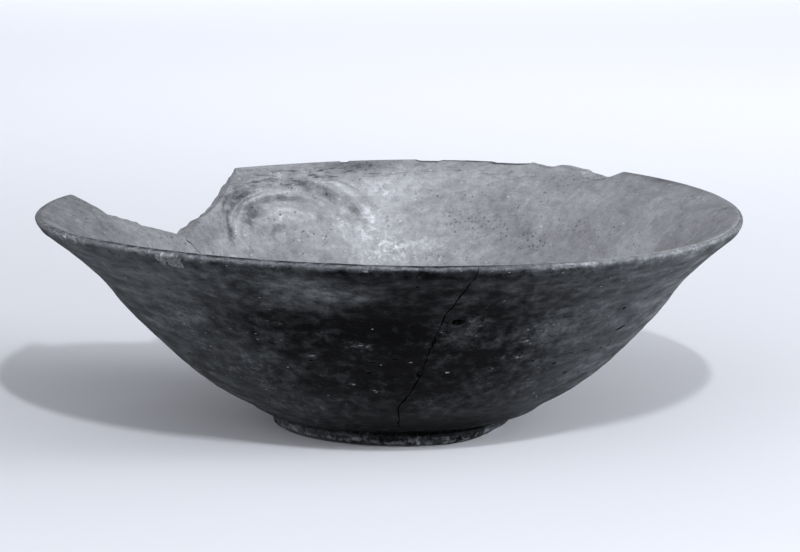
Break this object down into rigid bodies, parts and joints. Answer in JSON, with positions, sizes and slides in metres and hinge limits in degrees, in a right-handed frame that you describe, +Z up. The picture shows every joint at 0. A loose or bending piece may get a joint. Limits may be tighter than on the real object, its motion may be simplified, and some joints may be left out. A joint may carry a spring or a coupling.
{
  "type": "footed ceramic bowl, broken and mended",
  "caption": "Wide wheel-made bowl with a flaring lipped rim on a low ring foot; part of the rim is broken away, and a mended crack runs down the wall.",
  "frame": {"origin": "on the surface that the foot rests on, under the middle of the rim", "axes": "+Z up; seen from the front, along +Y, +X is to the right and the broken rim is at the back left"},
  "size_m": [0.22, 0.22, 0.0691],
  "materials": {
    "fired_clay": "dark burnished outside, pale chalky deposit inside, bare clay on the breaks"
  },
  "bodies": {
    "root": {"bowl": "fired_clay"}
  },
  "joints": []
}
